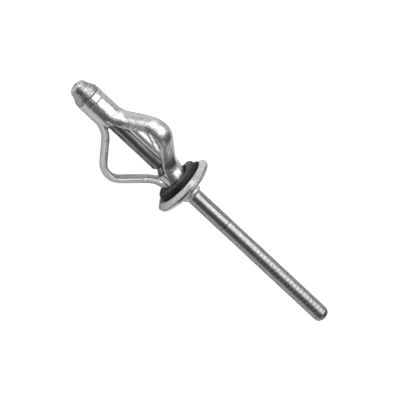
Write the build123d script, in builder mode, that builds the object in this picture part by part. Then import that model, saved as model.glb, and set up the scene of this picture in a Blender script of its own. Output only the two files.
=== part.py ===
from build123d import *
import os
from math import cos, sin, tan, radians

# Three-legged bulbing blind rivet, already set, lying on two legs and its flange.
# Millimetres. +Z is up, the mandrel tail points along +X.
# "u" is the distance along the rivet axis from the flange seat (tail side positive),
# "r" the distance from the rivet axis.

# ---------------------------------------------------------------- lying pose
PITCH = 3.6522          # degrees the tail rises
ROLL = 2.0960           # degrees about the rivet axis
SEAT_X = -4.7972        # flange seat centre in the lying frame
SEAT_Y = -0.0004
SEAT_Z = 6.1881

# ---------------------------------------------------------------- sleeve
SLEEVE_R = 2.60         # outside radius of the tube (5.2 rivet)
BORE_R = 1.60           # bore over the mandrel, at the tip and in the flange
LEG_T = 0.82            # wall of the legs
LEG_IN_R = SLEEVE_R - LEG_T
LEG_MID = SLEEVE_R - LEG_T / 2

TIP_U = -24.30          # tip end of the sleeve, under the mandrel head
RING_U = -22.74         # shallow ring pressed into the tube
RING_DEPTH = 0.10
RING_W = 0.17           # half width of the ring at the surface
SLOT_U = -18.30         # slots between the legs, from here
SLOT_END_U = -4.70      # to here
SLOT_END_R = 0.42       # round end of a slot on the tip side
LEG_START_U = -21.20    # legs are blended into the tube
LEG_END_U = -0.80
LEG_HALF = 49.0         # half width of a leg as an angle, degrees
LIP_FLARE = 0.06        # the tip end is belled by the head

# each leg: middle of its third of the tube, the direction it bowed out in
# (angles about the axis from the upper leg), crest radius, crest place
LEG_SECTOR = (0.0, 120.0, -120.0)
LEG_AZIMUTH = (-8.0, 117.0, -122.0)
LEG_CREST_R = (8.72, 8.50, 8.55)
LEG_CREST_U = (-11.68, -11.76, -10.80)
RISE_ANGLE = (52.0, 52.0, 44.5)     # slope of each leg on the tip side
FALL_ANGLE = (47.0, 42.6, 43.5)     # slope of each leg on the flange side
ROOT_ANGLE = (2.5, 13.0, 11.0)      # slope of the last stretch, up to the washer
RISE_R = 4.25           # bend radii of the leg's middle layer
CREST_R = 3.50
FALL_R = (2.60, 5.00, 5.00)
ROOT_R = 4.00
ROOT_U = -1.50          # where the leg is back on the tube radius

# ---------------------------------------------------------------- flange
SEAT_U = 0.0            # washer seat
CUP_R = 4.85            # inside of the rim at the seat
RIM_FRONT_U = -1.14     # front edge of the rim
RIM_FRONT_R = 5.13
RIM_R = 6.18            # greatest radius
RIM_U = -0.30           # place of the greatest radius, a crisp edge
RIM_LINE = 0.12         # depth of the fine groove behind that edge
RIM_BACK_U = 0.46       # end of the rounded band behind it
RIM_BACK_R = 5.80
DOME_U = 1.42           # dome meets the collar
COLLAR_R = 2.08
COLLAR_END_U = 2.45

# ---------------------------------------------------------------- washer
WASHER_R = 4.42
WASHER_BORE_R = 2.66
WASHER_MOUTH_R = 2.92   # the bore opens to clear the roots of the legs
WASHER_MOUTH_U = -1.30
WASHER_FRONT_U = -2.02  # front face at the edge
WASHER_RAISE = 0.20     # and how much further it stands at the bore
WASHER_EDGE = 0.30
WASHER_LIP = 0.06

# ---------------------------------------------------------------- mandrel
MANDREL_R = 1.55
HEAD_TIP_U = -27.56
HEAD_FLAT_R = 0.80      # nose flat
NOSE_R = 1.76           # where the nose meets the cone
NOSE_U = -26.72
HEAD_R = 2.56
HEAD_CONE_U = -25.36    # cone rounds over into the rim
HEAD_CONE_R = 2.34
HEAD_EDGE = 0.20
DIMPLE_R = 0.46
DIMPLE_DEPTH = 0.20
NOTCH_U = (-6.42, -5.90, -5.84, -5.08)   # break notch
NOTCH_R = 1.09
SWELL_U = 10.50         # end of the smooth swollen stretch
SWELL_R = 1.58
STEP_U = 10.74          # a narrow ring groove ends the swollen stretch
STEP_DEPTH = 0.13
SERRATION_START_U = 14.60
SERRATION_PITCH = 0.88
SERRATION_COUNT = 24
SERRATION_DEPTH = 0.018
SERRATION_R = 1.59      # the rolled rings stand a little proud
TAIL_TAPER_U = 36.05
TAIL_R = 0.72
TAIL_END_U = 37.18

# ---------------------------------------------------------------- rivet frame
_p, _r = radians(PITCH), radians(ROLL)
AX = Vector(cos(_p), 0, sin(_p))                 # along the axis, to the tail
_UP0 = Vector(-sin(_p), 0, cos(_p))
_SIDE0 = AX.cross(_UP0)
UP = _UP0 * cos(_r) + _SIDE0 * sin(_r)           # the upper leg
SIDE = AX.cross(UP)
SEAT = Vector(SEAT_X, SEAT_Y, SEAT_Z)
RIVET_AXIS = Axis(SEAT, AX)


def radial(azimuth):
    """Direction from the axis at an angle from the upper leg."""
    a = radians(azimuth)
    return UP * cos(a) + SIDE * sin(a)


def axial_plane(azimuth):
    """Plane through the axis: x runs along the axis, y outwards."""
    return Plane(origin=SEAT, x_dir=AX, z_dir=AX.cross(radial(azimuth)))


def cross_plane(u, azimuth):
    """Plane square to the axis at u: x points outwards at the angle."""
    return Plane(origin=SEAT + AX * u, x_dir=radial(azimuth), z_dir=AX)


def leg_points(crest_r, crest_u, rise, fall, root):
    """Corners of the leg's middle layer in its axial plane, before the bends."""
    rise, fall, root = radians(rise), radians(fall), radians(root)
    top = crest_r - LEG_T / 2
    cv = top - CREST_R
    t1 = (crest_u - CREST_R * sin(rise), cv + CREST_R * cos(rise))
    t2 = (crest_u + CREST_R * sin(fall), cv + CREST_R * cos(fall))
    p1 = (t1[0] - (t1[1] - LEG_MID) / tan(rise), LEG_MID)
    # the two crest lines meet here
    x = (t2[1] - t1[1] + t2[0] * tan(fall) + t1[0] * tan(rise)) / (tan(rise) + tan(fall))
    p2 = (x, t1[1] + tan(rise) * (x - t1[0]))
    # the falling line meets the root line here
    y = (t2[1] + tan(fall) * t2[0] - LEG_MID - tan(root) * ROOT_U) / (tan(fall) - tan(root))
    p3 = (y, LEG_MID - tan(root) * (y - ROOT_U))
    p4 = (ROOT_U, LEG_MID)
    return p1, p2, p3, p4


# ================================================================ sleeve
with BuildPart() as rivet_sleeve:
    # closed tube at the tip, its end a little belled, a shallow ring round it
    with BuildSketch(axial_plane(0)):
        with BuildLine():
            Polyline(
                (TIP_U, BORE_R + 0.05),
                (TIP_U, SLEEVE_R + LIP_FLARE - 0.12),
                (TIP_U + 0.12, SLEEVE_R + LIP_FLARE),
                (TIP_U + 0.55, SLEEVE_R),
                (RING_U - RING_W, SLEEVE_R),
                (RING_U - 0.05, SLEEVE_R - RING_DEPTH),
                (RING_U + 0.05, SLEEVE_R - RING_DEPTH),
                (RING_U + RING_W, SLEEVE_R),
                (SLOT_U + SLOT_END_R, SLEEVE_R),
                (SLOT_U + SLOT_END_R, LEG_IN_R),
                (RING_U, LEG_IN_R),
                (RING_U - 0.30, BORE_R),
                (TIP_U + 0.05, BORE_R),
                close=True,
            )
        make_face()
    revolve(axis=RIVET_AXIS)

    # round ends of the three slots
    for sector in LEG_SECTOR:
        with BuildSketch(Plane(origin=SEAT + AX * (SLOT_U + SLOT_END_R), x_dir=AX, z_dir=radial(sector + 60))):
            Circle(SLOT_END_R)
        extrude(amount=SLEEVE_R + 1, mode=Mode.SUBTRACT)

    # shank inside the washer, cupped flange, dome and collar
    with BuildSketch(axial_plane(0)):
        with BuildLine():
            Polyline(
                (COLLAR_END_U, BORE_R),
                (SEAT_U + 0.20, BORE_R),
                (SEAT_U - 0.05, LEG_IN_R),
                (SLOT_END_U, LEG_IN_R),
                (SLOT_END_U, SLEEVE_R),
                (SEAT_U, SLEEVE_R),
                (SEAT_U, CUP_R),
                (RIM_FRONT_U + 0.06, RIM_FRONT_R - 0.10),
                (RIM_FRONT_U, RIM_FRONT_R - 0.02),
                (RIM_FRONT_U + 0.04, RIM_FRONT_R + 0.08),
                (RIM_U - 0.10, RIM_R - 0.06),
            )
            ThreePointArc(
                (RIM_U - 0.10, RIM_R - 0.06),
                (RIM_U - 0.02, RIM_R),
                (RIM_U + 0.04, RIM_R - 0.03),
            )
            Polyline(
                (RIM_U + 0.04, RIM_R - 0.03),
                (RIM_U + 0.10, RIM_R - RIM_LINE),
                (RIM_U + 0.22, RIM_R - 0.05),
            )
            ThreePointArc(
                (RIM_U + 0.22, RIM_R - 0.05),
                ((RIM_U + 0.22 + RIM_BACK_U) / 2 + 0.05, (RIM_R - 0.05 + RIM_BACK_R) / 2 + 0.07),
                (RIM_BACK_U, RIM_BACK_R),
            )
            ThreePointArc(
                (RIM_BACK_U, RIM_BACK_R),
                ((RIM_BACK_U + DOME_U) / 2 + 0.13, (RIM_BACK_R + COLLAR_R) / 2 + 0.05),
                (DOME_U, COLLAR_R + 0.12),
            )
            Line((DOME_U, COLLAR_R + 0.12), (DOME_U + 0.10, COLLAR_R - 0.06))
            ThreePointArc(
                (DOME_U + 0.10, COLLAR_R - 0.06),
                (DOME_U + 0.48, COLLAR_R),
                (COLLAR_END_U, COLLAR_R - 0.34),
            )
            Line((COLLAR_END_U, COLLAR_R - 0.34), (COLLAR_END_U, BORE_R))
        make_face()
    revolve(axis=RIVET_AXIS)

    # the three legs, each bent outwards in its own axial plane
    for sector, azimuth, fall_r, *bow in zip(
        LEG_SECTOR, LEG_AZIMUTH, FALL_R, LEG_CREST_R, LEG_CREST_U, RISE_ANGLE, FALL_ANGLE, ROOT_ANGLE
    ):
        p1, p2, p3, p4 = leg_points(*bow)
        with BuildLine(axial_plane(azimuth)) as leg_path:
            FilletPolyline(
                (LEG_START_U, LEG_MID), p1, p2, p3, p4, (LEG_END_U, LEG_MID),
                radius=(RISE_R, CREST_R, fall_r, ROOT_R),
            )
        edge = radians(LEG_HALF)
        with BuildSketch(cross_plane(LEG_START_U, sector)) as leg_section:
            with BuildLine():
                CenterArc((0, 0), SLEEVE_R, -LEG_HALF, 2 * LEG_HALF)
                CenterArc((0, 0), LEG_IN_R, -LEG_HALF, 2 * LEG_HALF)
                PolarLine((LEG_IN_R * cos(edge), LEG_IN_R * sin(edge)), LEG_T, LEG_HALF)
                PolarLine((LEG_IN_R * cos(edge), -LEG_IN_R * sin(edge)), LEG_T, -LEG_HALF)
            make_face()
        sweep(sections=leg_section.sketch, path=leg_path.wires()[0])

# ================================================================ mandrel
with BuildPart() as mandrel:
    with BuildSketch(axial_plane(0)):
        with BuildLine():
            Polyline(
                (HEAD_TIP_U + DIMPLE_DEPTH, 0),
                (HEAD_TIP_U + 0.85 * DIMPLE_DEPTH, 0.22),
                (HEAD_TIP_U + 0.02, DIMPLE_R),
                (HEAD_TIP_U, DIMPLE_R + 0.10),
                (HEAD_TIP_U, HEAD_FLAT_R),
            )
            ThreePointArc(
                (HEAD_TIP_U, HEAD_FLAT_R),
                (HEAD_TIP_U + 0.23, HEAD_FLAT_R + 0.62),
                (NOSE_U, NOSE_R),
            )
            ThreePointArc(
                (NOSE_U, NOSE_R),
                (NOSE_U + 0.70, 1.99),
                (HEAD_CONE_U, HEAD_CONE_R),
            )
            ThreePointArc(
                (HEAD_CONE_U, HEAD_CONE_R),
                (HEAD_CONE_U + 0.42, HEAD_R - 0.03),
                (TIP_U - HEAD_EDGE, HEAD_R),
            )
            Polyline(
                (TIP_U - HEAD_EDGE, HEAD_R),
                (TIP_U - 0.06, HEAD_R - 0.06),
                (TIP_U, HEAD_R - HEAD_EDGE),
                (TIP_U, MANDREL_R),
                (NOTCH_U[0], MANDREL_R),
                (NOTCH_U[1], NOTCH_R),
                (NOTCH_U[2], NOTCH_R),
                (NOTCH_U[3], MANDREL_R),
                (COLLAR_END_U + 0.2, MANDREL_R),
                (SWELL_U, SWELL_R),
                (SWELL_U + 0.19, MANDREL_R - STEP_DEPTH),
                (STEP_U, MANDREL_R),
                (SERRATION_START_U, MANDREL_R),
            )
            # rolled rings, growing over the first few
            ring = (SERRATION_START_U, MANDREL_R)
            for i in range(SERRATION_COUNT):
                crest = MANDREL_R + (SERRATION_R - MANDREL_R) * min(1.0, 0.2 + 0.2 * i)
                depth = SERRATION_DEPTH * min(1.0, 0.35 + 0.65 * i / 6)
                after = (ring[0] + SERRATION_PITCH, crest - depth)
                ThreePointArc(ring, (ring[0] + SERRATION_PITCH / 2, crest), after)
                ring = after
            Polyline(
                ring,
                (ring[0] + 0.08, SERRATION_R),
                (TAIL_TAPER_U, SERRATION_R),
            )
            ThreePointArc(
                (TAIL_TAPER_U, SERRATION_R),
                (TAIL_TAPER_U + 0.78, 1.27),
                (TAIL_END_U, TAIL_R),
            )
            Polyline(
                (TAIL_END_U, TAIL_R),
                (TAIL_END_U, 0),
                (HEAD_TIP_U + DIMPLE_DEPTH, 0),
            )
        make_face()
    revolve(axis=RIVET_AXIS)

# ================================================================ sealing washer
with BuildPart() as sealing_washer:
    with BuildSketch(axial_plane(0)):
        with BuildLine():
            FilletPolyline(
                (SEAT_U, WASHER_BORE_R),
                (SEAT_U, WASHER_R),
                (WASHER_FRONT_U, WASHER_R),
                (WASHER_FRONT_U - WASHER_RAISE, WASHER_MOUTH_R),
                (WASHER_MOUTH_U, WASHER_BORE_R),
                radius=(WASHER_EDGE, WASHER_EDGE, WASHER_LIP),
            )
            Line((WASHER_MOUTH_U, WASHER_BORE_R), (SEAT_U, WASHER_BORE_R))
        make_face()
    revolve(axis=RIVET_AXIS)

# ================================================================ export
os.makedirs("parts", exist_ok=True)
rivet_sleeve.part.label = "rivet_sleeve"
mandrel.part.label = "mandrel"
sealing_washer.part.label = "sealing_washer"
export_step(rivet_sleeve.part, "parts/rivet_sleeve.step")
export_step(mandrel.part, "parts/mandrel.step")
export_step(sealing_washer.part, "parts/sealing_washer.step")
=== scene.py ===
import math

import bmesh
import bpy
import numpy as np
from mathutils import Matrix, Vector, noise


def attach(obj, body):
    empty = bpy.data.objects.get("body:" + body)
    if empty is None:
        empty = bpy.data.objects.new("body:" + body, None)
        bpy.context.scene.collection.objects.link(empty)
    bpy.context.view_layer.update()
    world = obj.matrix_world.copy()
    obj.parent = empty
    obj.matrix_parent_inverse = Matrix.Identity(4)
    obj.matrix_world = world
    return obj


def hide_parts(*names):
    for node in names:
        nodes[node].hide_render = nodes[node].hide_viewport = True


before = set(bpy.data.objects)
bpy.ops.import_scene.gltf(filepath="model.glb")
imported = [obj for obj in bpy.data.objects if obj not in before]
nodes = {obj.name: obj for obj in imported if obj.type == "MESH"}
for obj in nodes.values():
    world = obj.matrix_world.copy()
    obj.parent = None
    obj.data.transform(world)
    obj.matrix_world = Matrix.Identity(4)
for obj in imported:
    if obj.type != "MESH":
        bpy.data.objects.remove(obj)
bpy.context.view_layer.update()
scene = bpy.context.scene

# ------------------------------------------------------------------ rivet frame
# the rivet lies with its axis rising a little to the tail (metres, degrees)
PITCH, ROLL = math.radians(3.6522), math.radians(2.0960)
AX = Vector((math.cos(PITCH), 0.0, math.sin(PITCH)))
UP0 = Vector((-math.sin(PITCH), 0.0, math.cos(PITCH)))
SIDE0 = AX.cross(UP0)
UP = UP0 * math.cos(ROLL) + SIDE0 * math.sin(ROLL)
SIDE = AX.cross(UP)
SEAT = Vector((-4.7972e-3, -0.0004e-3, 6.1881e-3))

# ------------------------------------------------------------------ camera
PX = 2211.0                       # focal length in pixels of a 400 px frame
DIST = 0.40452                    # camera to flange seat
TURN, LEAN = math.radians(62.0), math.radians(14.5)
NEAR = UP * math.sin(TURN) + SIDE * math.cos(TURN)
LIFT = UP * math.cos(TURN) - SIDE * math.sin(TURN)
ALONG = AX * math.cos(LEAN) + NEAR * math.sin(LEAN)
BACK = NEAR * math.cos(LEAN) - AX * math.sin(LEAN)
SLANT = math.radians(42.986)      # the rivet lies slanting in the frame
CX = ALONG * math.cos(SLANT) + LIFT * math.sin(SLANT)
CY = -ALONG * math.sin(SLANT) + LIFT * math.cos(SLANT)
eye = SEAT + BACK * DIST
aim = (-BACK + CX * (16.28 / PX) - CY * (13.91 / PX)).normalized()
cz = -aim
cx = (CX - cz * CX.dot(cz)).normalized()
cy = cz.cross(cx)
cam_data = bpy.data.cameras.new("camera")
cam_data.sensor_width = 36.0
cam_data.lens = 36.0 * PX / 400.0
cam_data.clip_start, cam_data.clip_end = 0.01, 20.0
camera = bpy.data.objects.new("camera", cam_data)
camera.matrix_world = Matrix((
    (cx.x, cy.x, cz.x, eye.x), (cx.y, cy.y, cz.y, eye.y), (cx.z, cy.z, cz.z, eye.z), (0, 0, 0, 1)))
scene.collection.objects.link(camera)
scene.camera = camera


# ------------------------------------------------------------------ node helpers
class Tree:
    """Short calls for building a node tree."""

    def __init__(self, owner):
        owner.use_nodes = True
        self.t = owner.node_tree
        self.t.nodes.clear()

    def add(self, kind, inputs=None, **props):
        n = self.t.nodes.new(kind)
        for k, v in props.items():
            setattr(n, k, v)
        for k, v in (inputs or {}).items():
            if isinstance(v, bpy.types.NodeSocket):
                self.t.links.new(v, n.inputs[k])
            else:
                n.inputs[k].default_value = v
        return n

    def link(self, a, b):
        self.t.links.new(a, b)

    def math(self, op, a, b=None, c=None, clamp=False):
        n = self.add("ShaderNodeMath", operation=op, use_clamp=clamp)
        for i, v in enumerate((a, b, c)):
            if v is None:
                continue
            if isinstance(v, bpy.types.NodeSocket):
                self.link(v, n.inputs[i])
            else:
                n.inputs[i].default_value = v
        return n.outputs[0]

    def ramp(self, fac, stops):
        n = self.add("ShaderNodeValToRGB", {"Fac": fac})
        e = n.color_ramp.elements
        while len(e) < len(stops):
            e.new(0.5)
        for i, (p, c) in enumerate(stops):
            e[i].position = p
            e[i].color = (c, c, c, 1) if isinstance(c, float) else (*c, 1)
        return n.outputs["Color"]

    def span(self, value, a, b, lo, hi, smooth=True):
        n = self.add("ShaderNodeMapRange", {0: value, 1: a, 2: b, 3: lo, 4: hi})
        n.interpolation_type = "SMOOTHSTEP" if smooth else "LINEAR"
        return n.outputs[0]

    def mix(self, fac, a, b):
        n = self.add("ShaderNodeMix", data_type="RGBA")
        for key, v in ((0, fac), (6, a), (7, b)):
            if isinstance(v, bpy.types.NodeSocket):
                self.link(v, n.inputs[key])
            else:
                n.inputs[key].default_value = v if key == 0 else (*v, 1)
        return n.outputs[2]

    def noise(self, vec, scale, detail=2.0, rough=0.5):
        return self.add("ShaderNodeTexNoise", {"Vector": vec, "Scale": scale, "Detail": detail, "Roughness": rough}).outputs["Fac"]


def axis_coords(T):
    """Object position and the distances along and from the rivet axis (metres)."""
    co = T.add("ShaderNodeTexCoord").outputs["Object"]
    rel = T.add("ShaderNodeVectorMath", {0: co, 1: tuple(SEAT)}, operation="SUBTRACT").outputs[0]
    u = T.add("ShaderNodeVectorMath", {0: rel, 1: tuple(AX)}, operation="DOT_PRODUCT").outputs["Value"]
    a = T.add("ShaderNodeVectorMath", {0: rel, 1: tuple(UP)}, operation="DOT_PRODUCT").outputs["Value"]
    b = T.add("ShaderNodeVectorMath", {0: rel, 1: tuple(SIDE)}, operation="DOT_PRODUCT").outputs["Value"]
    own = T.add("ShaderNodeCombineXYZ", {0: u, 1: a, 2: b}).outputs[0]
    r = T.math("SQRT", T.math("ADD", T.math("MULTIPLY", a, a), T.math("MULTIPLY", b, b)))
    return own, u, r


# ------------------------------------------------------------------ materials
def sleeve_material():
    m = bpy.data.materials.new("sleeve_aluminium_formed")
    T = Tree(m)
    own, u, r = axis_coords(T)
    # how far the metal was stretched: the bent legs have orange-peel skin
    bent = T.span(r, 2.9e-3, 5.0e-3, 0.40, 1.0)
    peel = T.noise(own, 2700.0, 3.0, 0.6)
    fine = T.noise(own, 9000.0, 2.0, 0.5)
    wave = T.noise(own, 850.0, 2.0, 0.5)
    broad = T.noise(own, 700.0, 3.0, 0.55)
    speck = T.noise(own, 3700.0, 2.0, 0.6)
    colour = T.mix(T.ramp(broad, [(0.3, 0.0), (0.7, 1.0)]), (0.79, 0.805, 0.815), (0.89, 0.90, 0.905))
    # small dull pits and flecks all over the skin
    colour = T.mix(T.span(speck, 0.36, 0.51, 0.55, 0.0), colour, (0.42, 0.43, 0.435))
    # the flange is rubbed brighter
    rim = T.math("MULTIPLY", T.span(u, -1.5e-3, -1.2e-3, 0.0, 1.0), T.span(r, 4.9e-3, 5.1e-3, 0.0, 0.75))
    colour = T.mix(rim, colour, (0.955, 0.96, 0.965))
    marks = T.noise(own, 3100.0, 3.0, 0.65)
    colour = T.mix(T.math("MULTIPLY", rim, T.span(marks, 0.32, 0.45, 1.0, 0.0)), colour, (0.36, 0.37, 0.375))
    # painted shade: the fine groove behind the rim's crisp edge is painted near-black
    groove_painted_shade = T.math("MULTIPLY", T.span(u, -0.30e-3, -0.25e-3, 0.0, 1.0), T.span(u, -0.12e-3, -0.05e-3, 1.0, 0.0))
    colour = T.mix(T.math("MULTIPLY", groove_painted_shade, T.span(r, 5.90e-3, 6.0e-3, 0.0, 0.92)), colour, (0.07, 0.071, 0.073))
    rough = T.math("ADD", T.span(broad, 0.3, 0.7, 0.15, 0.23), T.math("MULTIPLY", bent, 0.05))
    # dome and collar are duller
    rough = T.math("ADD", rough, T.span(u, 0.4e-3, 1.2e-3, 0.0, 0.22))
    height = T.math("ADD", T.math("MULTIPLY", peel, T.math("MULTIPLY", bent, 1.1)), T.math("MULTIPLY", fine, 0.20))
    height = T.math("ADD", height, T.math("MULTIPLY", wave, 2.3))
    height = T.math("ADD", height, T.math("MULTIPLY", speck, 1.15))
    bump = T.add("ShaderNodeBump", {"Strength": 1.0, "Distance": 3.2e-5, "Height": height})
    bsdf = T.add("ShaderNodeBsdfPrincipled", {"Base Color": colour, "Metallic": 1.0, "Roughness": rough, "Normal": bump.outputs[0]})
    out = T.add("ShaderNodeOutputMaterial")
    T.link(bsdf.outputs[0], out.inputs[0])
    return m


def mandrel_material():
    m = bpy.data.materials.new("mandrel_aluminium_drawn")
    T = Tree(m)
    own, u, r = axis_coords(T)
    stretch = T.add("ShaderNodeMapping", {"Vector": own, "Scale": (0.05, 1.0, 1.0)}).outputs[0]
    lines = T.noise(stretch, 9000.0, 3.0, 0.6)
    broad = T.noise(own, 600.0, 3.0, 0.55)
    fine = T.noise(own, 9000.0, 2.0, 0.5)
    colour = T.mix(T.ramp(broad, [(0.3, 0.0), (0.7, 1.0)]), (0.445, 0.45, 0.44), (0.545, 0.552, 0.54))
    # flecks: worst on the forged head
    head = T.span(u, -24.35e-3, -24.2e-3, 1.0, 0.35)
    speck = T.noise(own, 3600.0, 3.0, 0.65)
    colour = T.mix(T.math("MULTIPLY", T.span(u, -24.35e-3, -24.2e-3, 0.5, 0.0), 1.0), colour, (0.70, 0.71, 0.70))
    colour = T.mix(T.math("MULTIPLY", T.span(speck, 0.40, 0.54, 0.70, 0.0), head), colour, (0.17, 0.175, 0.175))
    colour = T.mix(T.math("MULTIPLY", T.span(speck, 0.54, 0.68, 0.0, 0.6), head), colour, (0.74, 0.75, 0.745))
    # painted highlight: the nose front is painted light; painted shade: the dimple at its centre is painted
    # near-black
    nose_painted_light = T.span(u, -27.30e-3, -26.85e-3, 1.0, 0.0)
    colour = T.mix(T.math("MULTIPLY", nose_painted_light, 0.72), colour, (0.90, 0.91, 0.90))
    colour = T.mix(T.math("MULTIPLY", nose_painted_light, T.span(r, 0.48e-3, 0.64e-3, 0.92, 0.0)), colour, (0.09, 0.093, 0.093))
    # short marks across the wire
    across = T.add("ShaderNodeMapping", {"Vector": own, "Scale": (1.0, 0.22, 0.22)}).outputs[0]
    ticks = T.noise(across, 5200.0, 2.0, 0.6)
    colour = T.mix(T.span(ticks, 0.34, 0.48, 0.40, 0.0), colour, (0.22, 0.224, 0.22))
    # painted shade: the shaft inside the cage of legs is darkened in streaks
    shaft_painted_shade = T.math("MULTIPLY", T.span(u, -22.0e-3, -21.0e-3, 0.0, 1.0), T.span(u, -2.5e-3, -1.5e-3, 1.0, 0.0))
    colour = T.mix(T.math("MULTIPLY", shaft_painted_shade, T.span(T.noise(stretch, 2600.0, 2.0, 0.6), 0.40, 0.60, 0.50, 0.0)), colour, (0.18, 0.185, 0.175))
    rough = T.math("ADD", T.span(lines, 0.25, 0.75, 0.14, 0.24), T.math("MULTIPLY", head, 0.10))
    # scored lines between the rolled rings of the tail
    turn = T.math("FRACT", T.math("DIVIDE", T.math("SUBTRACT", u, 14.60e-3), 0.88e-3))
    score = T.span(T.math("ABSOLUTE", T.math("SUBTRACT", turn, 0.5)), 0.30, 0.46, 0.0, 1.0)
    score = T.math("MULTIPLY", score, T.math("MULTIPLY", T.span(u, 14.6e-3, 20.0e-3, 0.0, 1.0), T.span(u, 35.6e-3, 35.8e-3, 1.0, 0.0)))
    rough = T.math("ADD", rough, T.math("MULTIPLY", score, 0.22))
    height = T.math("ADD", lines, T.math("MULTIPLY", fine, 0.3))
    height = T.math("ADD", height, T.math("MULTIPLY", T.math("MULTIPLY", speck, head), 5.0))
    bump = T.add("ShaderNodeBump", {"Strength": 0.22, "Distance": 2.0e-5, "Height": height})
    bsdf = T.add("ShaderNodeBsdfPrincipled", {"Base Color": colour, "Metallic": 1.0, "Roughness": rough, "Normal": bump.outputs[0]})
    out = T.add("ShaderNodeOutputMaterial")
    T.link(bsdf.outputs[0], out.inputs[0])
    return m


def washer_material():
    m = bpy.data.materials.new("washer_rubber_black")
    T = Tree(m)
    own, u, r = axis_coords(T)
    grain = T.noise(own, 2900.0, 4.0, 0.68)
    broad = T.noise(own, 900.0, 2.0, 0.5)
    colour = T.mix(T.ramp(broad, [(0.35, 0.0), (0.7, 1.0)]), (0.006, 0.0063, 0.0066), (0.018, 0.0186, 0.0192))
    # painted sheen: the front is painted grey in patches, most on its swollen part; the side stays black
    front = T.span(r, 4.10e-3, 4.38e-3, 1.0, 0.0)
    front_painted_sheen = T.math("MULTIPLY", front, T.span(T.noise(own, 2300.0, 4.0, 0.68), 0.40, 0.62, 0.0, 1.0))
    front_painted_sheen = T.math("MULTIPLY", front_painted_sheen, T.span(u, -2.55e-3, -2.15e-3, 1.0, 0.55))
    colour = T.mix(front_painted_sheen, colour, (0.27, 0.278, 0.284))
    rough = T.span(grain, 0.35, 0.65, 0.62, 0.34)
    bump = T.add("ShaderNodeBump", {"Strength": 1.0, "Distance": 9.0e-5, "Height": grain})
    bsdf = T.add("ShaderNodeBsdfPrincipled", {"Base Color": colour, "Roughness": rough, "Normal": bump.outputs[0]})
    out = T.add("ShaderNodeOutputMaterial")
    T.link(bsdf.outputs[0], out.inputs[0])
    return m


# ------------------------------------------------------------------ shapes
# places along and from the axis, in millimetres from the flange seat
SLEEVE_R, LEG_IN_R, BORE_R = 2.60, 1.78, 1.60
RING_U, RING_DEPTH = -22.74, 0.13
RIM_FRONT_U, RIM_FRONT_R, CUP_R = -1.14, 5.13, 4.85
RIM_U, RIM_R, RIM_LINE, RIM_BACK_U, RIM_BACK_R = -0.30, 6.18, 0.12, 0.46, 5.80
DOME_U, COLLAR_R, COLLAR_END_U = 1.42, 2.08, 2.45
WASHER_R, WASHER_BORE_R, WASHER_MOUTH_R, WASHER_MOUTH_U = 4.42, 2.66, 2.92, -1.30
WASHER_FRONT_U, WASHER_RAISE = -2.02, 0.20
AXES = np.array([AX[:], UP[:], SIDE[:]])


def to_rivet(p):
    """Points in metres to (u, up, side) in millimetres."""
    return (p - np.array(SEAT[:])) @ AXES.T * 1000.0


def from_rivet(q):
    return q @ AXES / 1000.0 + np.array(SEAT[:])


def wobble(points, scale, seed):
    """Smooth noise, about -1..1, at points in millimetres."""
    off = Vector((17.3 * seed, 5.1 * seed, -9.7 * seed))
    return np.array([noise.noise(Vector(q) * scale + off) for q in points.tolist()])


def arc(p, q, r, n):
    """Points of the arc p, q, r after p (in the axial plane)."""
    (ax, ay), (bx, by), (cx_, cy_) = p, q, r
    d = 2 * (ax * (by - cy_) + bx * (cy_ - ay) + cx_ * (ay - by))
    ox = ((ax**2 + ay**2) * (by - cy_) + (bx**2 + by**2) * (cy_ - ay) + (cx_**2 + cy_**2) * (ay - by)) / d
    oy = ((ax**2 + ay**2) * (cx_ - bx) + (bx**2 + by**2) * (ax - cx_) + (cx_**2 + cy_**2) * (bx - ax)) / d
    rad = math.hypot(ax - ox, ay - oy)
    t0, t1, t2 = (math.atan2(y - oy, x - ox) for x, y in (p, q, r))
    turn = (t2 - t0) % (2 * math.pi)
    if (t1 - t0) % (2 * math.pi) > turn:
        turn -= 2 * math.pi
    return [(ox + rad * math.cos(t0 + turn * k / n), oy + rad * math.sin(t0 + turn * k / n)) for k in range(1, n + 1)]


def soften(points, radius, n=3):
    """Closed outline with every corner rounded."""
    out = []
    m = len(points)
    for i in range(m):
        a, b, c = (np.array(points[(i + k) % m], float) for k in (-1, 0, 1))
        d1, d2 = a - b, c - b
        l1, l2 = np.linalg.norm(d1), np.linalg.norm(d2)
        cosang = float(np.clip(d1 @ d2 / (l1 * l2), -1, 1))
        if math.degrees(math.acos(cosang)) > 166:
            out.append(tuple(b))
            continue
        cut = min(radius, 0.45 * l1, 0.45 * l2)
        e, f = b + d1 / l1 * cut, b + d2 / l2 * cut
        for k in range(n + 1):
            t = k / n
            out.append(tuple((1 - t) ** 2 * e + 2 * t * (1 - t) * b + t * t * f))
    return out


def spread(points, step):
    """Closed outline with long straight runs divided."""
    out = []
    for i, a in enumerate(points):
        b = points[(i + 1) % len(points)]
        n = max(1, int(math.hypot(b[0] - a[0], b[1] - a[1]) / step))
        out += [(a[0] + (b[0] - a[0]) * k / n, a[1] + (b[1] - a[1]) * k / n) for k in range(n)]
    return out


def lathe(points, turns):
    """Vertices (u, up, side in millimetres) and faces of a closed outline turned about the axis."""
    pts = np.array(points)
    ang = np.arange(turns) * 2 * math.pi / turns
    v = np.empty((turns, len(pts), 3))
    v[..., 0] = pts[:, 0]
    v[..., 1] = pts[:, 1] * np.cos(ang)[:, None]
    v[..., 2] = pts[:, 1] * np.sin(ang)[:, None]
    m = len(pts)
    i, j = np.meshgrid(np.arange(turns), np.arange(m), indexing="ij")
    i2, j2 = (i + 1) % turns, (j + 1) % m
    f = np.stack([i * m + j, i2 * m + j, i2 * m + j2, i * m + j2], -1).reshape(-1, 4)
    return v.reshape(-1, 3), f


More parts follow.
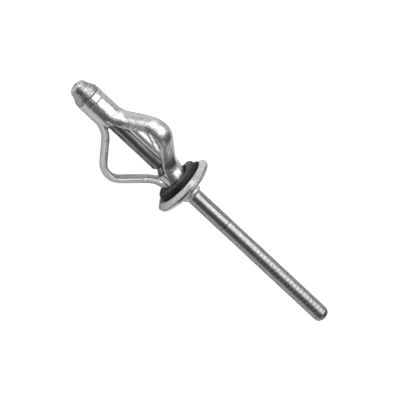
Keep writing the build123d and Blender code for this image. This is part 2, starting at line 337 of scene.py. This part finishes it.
def new_piece(name, verts, faces, material, node):
    """Mesh piece from millimetre points, standing for a CAD node."""
    me = bpy.data.meshes.new(name)
    me.from_pydata(from_rivet(verts).tolist(), [], [tuple(f) for f in faces])
    bm = bmesh.new()
    bm.from_mesh(me)
    bmesh.ops.recalc_face_normals(bm, faces=bm.faces)
    bm.to_mesh(me)
    bm.free()
    me.polygons.foreach_set("use_smooth", np.ones(len(me.polygons), bool))
    me.materials.append(material)
    ob = bpy.data.objects.new(name, me)
    scene.collection.objects.link(ob)
    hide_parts(node)
    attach(ob, "root")
    return ob


def formed_tube(node, size):
    """The sleeve's tube and legs as an even mesh whose cut edges are rounded."""
    bm = bmesh.new()
    bm.from_mesh(node.data)
    bmesh.ops.remove_doubles(bm, verts=bm.verts, dist=1e-6)
    bmesh.ops.scale(bm, vec=(1000.0, 1000.0, 1000.0), verts=bm.verts)
    work = bpy.data.meshes.new("work")
    bm.to_mesh(work)
    bm.free()
    ob = bpy.data.objects.new("work", work)
    scene.collection.objects.link(ob)
    mod = ob.modifiers.new("even", "REMESH")
    mod.mode, mod.voxel_size, mod.adaptivity = "VOXEL", size, 0.0
    deps = bpy.context.evaluated_depsgraph_get()
    even = bpy.data.meshes.new_from_object(ob.evaluated_get(deps))
    bpy.data.objects.remove(ob)
    bpy.data.meshes.remove(work)
    # the flange is turned separately: cut square inside the washer
    bm = bmesh.new()
    bm.from_mesh(even)
    bpy.data.meshes.remove(even)
    cut = (SEAT + AX * -1.0e-3) * 1000.0
    bmesh.ops.bisect_plane(bm, geom=bm.verts[:] + bm.edges[:] + bm.faces[:], plane_co=cut, plane_no=AX, clear_outer=True)
    # what the cut leaves of the flange's front edge goes too
    left = to_rivet(np.array([v.co[:] for v in bm.verts]) / 1000.0)
    left = (left[:, 0] > -1.6) & (np.hypot(left[:, 1], left[:, 2]) > 3.5)
    bmesh.ops.delete(bm, geom=[v for v, gone in zip(bm.verts[:], left.tolist()) if gone], context="VERTS")
    rim = [e for e in bm.edges if e.is_boundary]
    bmesh.ops.bridge_loops(bm, edges=rim)
    bmesh.ops.triangulate(bm, faces=[f for f in bm.faces if len(f.verts) > 4])
    bm.verts.index_update()
    q = to_rivet(np.array([v.co[:] for v in bm.verts]) / 1000.0)
    faces = [[v.index for v in f.verts] for f in bm.faces]
    edges = np.array([[v.index for v in e.verts] for e in bm.edges])
    bm.free()
    # round the edges
    n = len(q)
    deg = np.bincount(edges.ravel(), minlength=n)[:, None].astype(float)
    for k in range(4):
        acc = np.stack([np.bincount(edges[:, 0], q[edges[:, 1], c], n) + np.bincount(edges[:, 1], q[edges[:, 0], c], n) for c in range(3)], 1)
        hold = np.where(q[:, 0] > -1.3, 0.0, 0.5)[:, None]
        q = q + (acc / deg - q) * hold
    # the pressed ring keeps its depth
    r = np.hypot(q[:, 1], q[:, 2])
    near = (np.abs(q[:, 0] - RING_U) < 0.45) & (r > 2.3)
    want = SLEEVE_R - RING_DEPTH * np.exp(-(((q[:, 0] - RING_U) / 0.13) ** 2))
    k = np.where(near, want / np.maximum(r, 0.1), 1.0)
    q[:, 1] *= k
    q[:, 2] *= k
    return q, faces


def face_normals(q, faces):
    """Vertex normals of a mesh given as arrays."""
    nv = np.zeros_like(q)
    tri = np.array([(f[0], f[i], f[i + 1]) for f in faces for i in range(1, len(f) - 1)])
    fn = np.cross(q[tri[:, 1]] - q[tri[:, 0]], q[tri[:, 2]] - q[tri[:, 0]])
    for k in range(3):
        for c in range(3):
            nv[:, c] += np.bincount(tri[:, k], fn[:, c], len(q))
    return nv / np.maximum(np.linalg.norm(nv, axis=1, keepdims=True), 1e-12)


def make_sleeve():
    q, faces = formed_tube(nodes["rivet_sleeve"], 0.13)
    nv = face_normals(q, faces)
    r = np.hypot(q[:, 1], q[:, 2])
    bent = np.clip((r - 2.75) / 1.8, 0.12, 1.0)
    outside = np.clip((q[:, 0] + 1.9) / -0.5, 0.0, 1.0)        # nothing moves inside the washer
    lift = 0.016 * wobble(q, 0.75, 1) + 0.0055 * bent * wobble(q, 2.7, 2) + 0.0022 * wobble(q, 4.6, 3)
    lift = np.where(r < 1.95, 0.0, lift)                        # nor inside the tube
    q = q + nv * (lift * outside)[:, None]
    # flange, dome and collar
    rim = [(RIM_U - 0.10, RIM_R - 0.06)]
    rim += arc(rim[-1], (RIM_U - 0.02, RIM_R), (RIM_U + 0.04, RIM_R - 0.03), 4)
    rim += [(RIM_U + 0.10, RIM_R - RIM_LINE), (RIM_U + 0.22, RIM_R - 0.05)]
    rim += arc(rim[-1], ((RIM_U + 0.22 + RIM_BACK_U) / 2 + 0.05, (RIM_R - 0.05 + RIM_BACK_R) / 2 + 0.07), (RIM_BACK_U, RIM_BACK_R), 5)[:-1]
    dome = [(RIM_BACK_U, RIM_BACK_R)]
    dome += arc(dome[-1], ((RIM_BACK_U + DOME_U) / 2 + 0.13, (RIM_BACK_R + COLLAR_R) / 2 + 0.05), (DOME_U, COLLAR_R + 0.12), 14)
    bead = [(DOME_U + 0.10, COLLAR_R - 0.06)]
    bead += arc(bead[-1], (DOME_U + 0.48, COLLAR_R), (COLLAR_END_U, COLLAR_R - 0.34), 8)
    outline = [(-1.20, LEG_IN_R), (-1.20, SLEEVE_R - 0.015), (0.0, SLEEVE_R - 0.015), (0.0, CUP_R),
               (RIM_FRONT_U + 0.06, RIM_FRONT_R - 0.10), (RIM_FRONT_U, RIM_FRONT_R - 0.02), (RIM_FRONT_U + 0.04, RIM_FRONT_R + 0.08)]
    outline += rim + dome + bead + [(COLLAR_END_U, BORE_R), (0.20, BORE_R), (-0.05, LEG_IN_R)]
    fq, ff = lathe(spread(soften(outline, 0.03, 2), 0.20), 200)
    fn = face_normals(fq, ff.tolist())
    fr = np.hypot(fq[:, 1], fq[:, 2])
    uneven = np.clip((fr - 4.9) / 0.3, 0.0, 1.0) * np.clip((RIM_R + 0.02 - fr) / 0.12, 0.0, 1.0)
    sgn = 1.0 if (fn[np.argmax(fr)] @ fq[np.argmax(fr)]) > 0 else -1.0
    fq = fq + fn * (sgn * uneven * (0.016 * wobble(fq, 0.7, 4) + 0.012 * wobble(fq, 1.9, 5) - 0.045 * np.clip(wobble(fq, 1.3, 8) - 0.42, 0.0, 1.0) - 0.022))[:, None]
    faces = faces + (ff + len(q)).tolist()
    return new_piece("sleeve_formed", np.concatenate([q, fq]), faces, sleeve_material(), "rivet_sleeve")


def make_washer():
    """Rubber ring, squeezed: it swells forward between the legs."""
    edge = 0.30
    front = (WASHER_FRONT_U, WASHER_R)
    lip = (WASHER_FRONT_U - WASHER_RAISE, WASHER_MOUTH_R)
    outline = [(0.0, WASHER_BORE_R), (0.0, WASHER_R), front, lip, (WASHER_MOUTH_U, WASHER_BORE_R)]
    fq, ff = lathe(spread(soften(outline, edge, 6), 0.10), 180)
    r = np.hypot(fq[:, 1], fq[:, 2])
    a = np.degrees(np.arctan2(fq[:, 2], fq[:, 1]))
    swell = np.zeros(len(fq))
    for centre, amount in ((-60.0, 0.46), (60.0, 0.10), (180.0, 0.26)):
        d = np.abs((a - centre + 180) % 360 - 180)
        swell = np.maximum(swell, amount * np.clip(1 - (d / 46.0) ** 2, 0, 1) ** 1.5)
    forward = np.clip((-1.35 - fq[:, 0]) / 0.6, 0, 1) * np.clip((WASHER_R - r) / 0.5, 0, 1) ** 0.6
    # the mouth stays clear of the legs as it swells
    k = 1 + np.where(r < 3.2, swell * forward * 0.10, 0.0)
    fq[:, 0] -= swell * forward
    fq[:, 1] *= k
    fq[:, 2] *= k
    fn = face_normals(fq, ff.tolist())
    sgn = 1.0 if (fn[np.argmax(r)] @ fq[np.argmax(r)]) > 0 else -1.0
    face = np.clip((-1.2 - fq[:, 0]) / 0.3, 0, 1) * np.clip((r - 2.95) / 0.2, 0, 1)
    fq = fq + fn * (sgn * face * (0.025 * wobble(fq, 1.1, 6) + 0.010 * wobble(fq, 2.6, 7) - 0.01))[:, None]
    return new_piece("washer_squeezed", fq, ff, washer_material(), "sealing_washer")


make_sleeve()
make_washer()
o = nodes["mandrel"]
o.data.materials.clear()
o.data.materials.append(mandrel_material())

# ------------------------------------------------------------------ stage
mesh = bpy.data.meshes.new("floor")
S = 1.5
mesh.from_pydata([(-S, -S, 0), (S, -S, 0), (S, S, 0), (-S, S, 0)], [], [(0, 1, 2, 3)])
floor = bpy.data.objects.new("floor", mesh)
floor.location.z = -2.0e-5
scene.collection.objects.link(floor)
fm = bpy.data.materials.new("floor_paper")
T = Tree(fm)
co = T.add("ShaderNodeTexCoord").outputs["Object"]
tint = T.mix(T.noise(co, 40.0, 3.0), (0.83, 0.83, 0.83), (0.86, 0.86, 0.855))
diffuse = T.add("ShaderNodeBsdfDiffuse", {"Color": tint})
glow = T.add("ShaderNodeEmission", {"Color": (1, 1, 1, 1), "Strength": 0.85})
both = T.add("ShaderNodeAddShader")
T.link(diffuse.outputs[0], both.inputs[0])
T.link(glow.outputs[0], both.inputs[1])
path = T.add("ShaderNodeLightPath")
choose = T.add("ShaderNodeMixShader")
T.link(path.outputs["Is Camera Ray"], choose.inputs[0])
T.link(diffuse.outputs[0], choose.inputs[1])
T.link(both.outputs[0], choose.inputs[2])
out = T.add("ShaderNodeOutputMaterial")
T.link(choose.outputs[0], out.inputs[0])
mesh.materials.append(fm)

world = bpy.data.worlds.new("studio")
scene.world = world
T = Tree(world)
dim = T.add("ShaderNodeBackground", {"Color": (0.112, 0.115, 0.117, 1), "Strength": 1.0})
pale = T.add("ShaderNodeBackground", {"Color": (1, 1, 1, 1), "Strength": 1.0})
path = T.add("ShaderNodeLightPath")
choose = T.add("ShaderNodeMixShader")
T.link(path.outputs["Is Camera Ray"], choose.inputs[0])
T.link(dim.outputs[0], choose.inputs[1])
T.link(pale.outputs[0], choose.inputs[2])
out = T.add("ShaderNodeOutputWorld")
T.link(choose.outputs[0], out.inputs[0])


def softbox(name, lo, hi, x0, x1, dist, radiance):
    """Rectangular light square to the rivet's cross-section: it spans the angles lo..hi
    (degrees from the camera's side, rising over the top) as seen from the legs."""
    mid, half = math.radians((lo + hi) / 2), math.radians((hi - lo) / 2)
    d = NEAR * math.cos(mid) + LIFT * math.sin(mid)
    width = 2 * dist * math.tan(half)
    across = (-NEAR * math.sin(mid) + LIFT * math.cos(mid)).normalized()
    length = x1 - x0
    light = bpy.data.lights.new(name, "AREA")
    light.shape = "RECTANGLE"
    light.size, light.size_y = length, width
    light.energy = radiance * math.pi * length * width
    ob = bpy.data.objects.new(name, light)
    z = d.normalized()
    x = AX.copy()
    x = (x - z * x.dot(z)).normalized()
    y = z.cross(x)
    at = SEAT + d * dist + AX * ((x0 + x1) / 2)
    ob.matrix_world = Matrix(((x.x, y.x, z.x, at.x), (x.y, y.y, z.y, at.y), (x.z, y.z, z.z, at.z), (0, 0, 0, 1)))
    ob.visible_camera = False
    scene.collection.objects.link(ob)
    return ob


def panel(name, at, toward, width, height, radiance):
    """Rectangular light at a place, turned to face a point and standing upright."""
    at, toward = Vector(at), Vector(toward)
    z = (at - toward).normalized()
    x = Vector((0, 0, 1)).cross(z).normalized()
    y = z.cross(x)
    light = bpy.data.lights.new(name, "AREA")
    light.shape = "RECTANGLE"
    light.size, light.size_y = width, height
    light.energy = radiance * math.pi * width * height
    ob = bpy.data.objects.new(name, light)
    ob.matrix_world = Matrix(((x.x, y.x, z.x, at.x), (x.y, y.y, z.y, at.y), (x.z, y.z, z.z, at.z), (0, 0, 0, 1)))
    ob.visible_camera = False
    scene.collection.objects.link(ob)
    return ob


softbox("softbox_over", 14.0, 73.0, -0.06, 0.22, 0.40, 1.70)
softbox("softbox_tip", 14.0, 73.0, -0.40, -0.06, 0.40, 0.90)
softbox("softbox_edge", 4.0, 14.0, -0.40, 0.22, 0.40, 0.45)
softbox("softbox_fade", -10.0, 4.0, -0.40, 0.22, 0.40, 0.12)
softbox("card_back", 85.0, 117.0, -0.55, 0.35, 0.45, 0.42)
panel("panel_tip", (-0.50, 0.035, 0.36), (0.0, 0.035, 0.36), 0.27, 0.70, 1.18)
panel("panel_tip_far", (-0.50, 0.295, 0.44), (0.0, 0.295, 0.44), 0.25, 0.54, 1.04)
panel("panel_tip_back", (-0.50, 0.62, 0.44), (0.0, 0.30, 0.44), 0.40, 0.46, 0.63)
panel("card_tail", (0.36, -0.20, 0.18), (0.0, 0.0, 0.006), 0.14, 0.11, 0.72)

scene.view_settings.view_transform = "Standard"
scene.view_settings.look = "None"
scene.cycles.use_denoising = True
